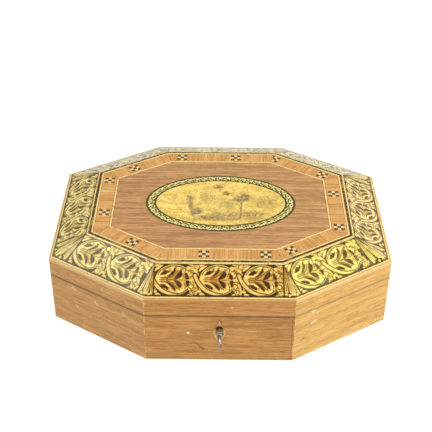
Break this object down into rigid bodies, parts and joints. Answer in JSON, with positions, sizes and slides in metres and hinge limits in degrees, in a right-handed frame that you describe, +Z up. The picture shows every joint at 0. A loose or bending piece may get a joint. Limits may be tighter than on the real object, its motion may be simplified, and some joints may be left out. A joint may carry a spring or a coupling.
{
  "type": "writing box",
  "caption": "Octagonal hinged writing box: veneered walls, shallow sloping lid with scroll bands, inlaid lines and an oval picture, lock with key.",
  "frame": {"origin": "middle of the underside, on the surface that the box stands on", "axes": "+X runs along the box to the right as seen from the keyhole, -Y faces the keyhole side, +Z up"},
  "size_m": [0.3, 0.2689, 0.0815],
  "materials": {
    "side_veneer": "french polished, worn",
    "carcase": "bare",
    "scroll_band": "pale wood with black penwork, varnished",
    "boxwood": "varnished",
    "ebony": "varnished, chipped",
    "crossbanding": "french polished",
    "panel_veneer": "french polished, worn",
    "oval_border": "painted, varnished",
    "oval_picture": "painted, worn, varnished",
    "chequer_light": "varnished",
    "chequer_dark": "varnished",
    "bone": "yellowed bone, satin",
    "brass": "aged",
    "steel": "worn"
  },
  "bodies": {
    "case": {"base_wall_front": "side_veneer", "base_wall_front_right": "side_veneer", "base_wall_right": "side_veneer", "base_wall_back_right": "side_veneer", "base_wall_back": "side_veneer", "base_wall_back_left": "side_veneer", "base_wall_left": "side_veneer", "base_wall_front_left": "side_veneer", "base_bottom": "carcase", "escutcheon": "bone", "lock": "brass", "hinge_left_base_leaf": "brass", "hinge_left_pin": "brass", "hinge_right_base_leaf": "brass", "hinge_right_pin": "brass"},
    "lid": {"lid_skirt_front": "side_veneer", "lid_skirt_front_right": "side_veneer", "lid_skirt_right": "side_veneer", "lid_skirt_back_right": "side_veneer", "lid_skirt_back": "side_veneer", "lid_skirt_back_left": "side_veneer", "lid_skirt_left": "side_veneer", "lid_skirt_front_left": "side_veneer", "lid_slope_front": "carcase", "lid_slope_front_right": "carcase", "lid_slope_right": "carcase", "lid_slope_back_right": "carcase", "lid_slope_back": "carcase", "lid_slope_back_left": "carcase", "lid_slope_left": "carcase", "lid_slope_front_left": "carcase", "lid_top_board": "carcase", "scroll_band_front": "scroll_band", "scroll_band_front_right": "scroll_band", "scroll_band_right": "scroll_band", "scroll_band_back_right": "scroll_band", "scroll_band_back": "scroll_band", "scroll_band_back_left": "scroll_band", "scroll_band_left": "scroll_band", "scroll_band_front_left": "scroll_band", "eave_edging": "boxwood", "slope_string": "boxwood", "ridge_line": "ebony", "outer_string": "boxwood", "inner_string": "boxwood", "crossband_front": "crossbanding", "crossband_front_right": "crossbanding", "crossband_right": "crossbanding", "crossband_back_right": "crossbanding", "crossband_back": "crossbanding", "crossband_back_left": "crossbanding", "crossband_left": "crossbanding", "crossband_front_left": "crossbanding", "centre_panel": "panel_veneer", "oval_border": "oval_border", "oval_picture": "oval_picture", "link_plate": "brass", "hinge_left_lid_leaf": "brass", "hinge_right_lid_leaf": "brass"},
    "key": {"key": "steel"}
  },
  "joints": [
    {"name": "lid_hinge", "type": "hinge", "parent": "case", "child": "lid", "pos_m": [0, 0.1231, 0.04955], "axis": [-1, 0, 0], "range_deg": [0, 100]},
    {"name": "key_turn", "type": "hinge", "parent": "case", "child": "key", "pos_m": [0, -0.1225, 0.0353], "axis": [0, 1, 0], "range_deg": [0, 180]}
  ]
}
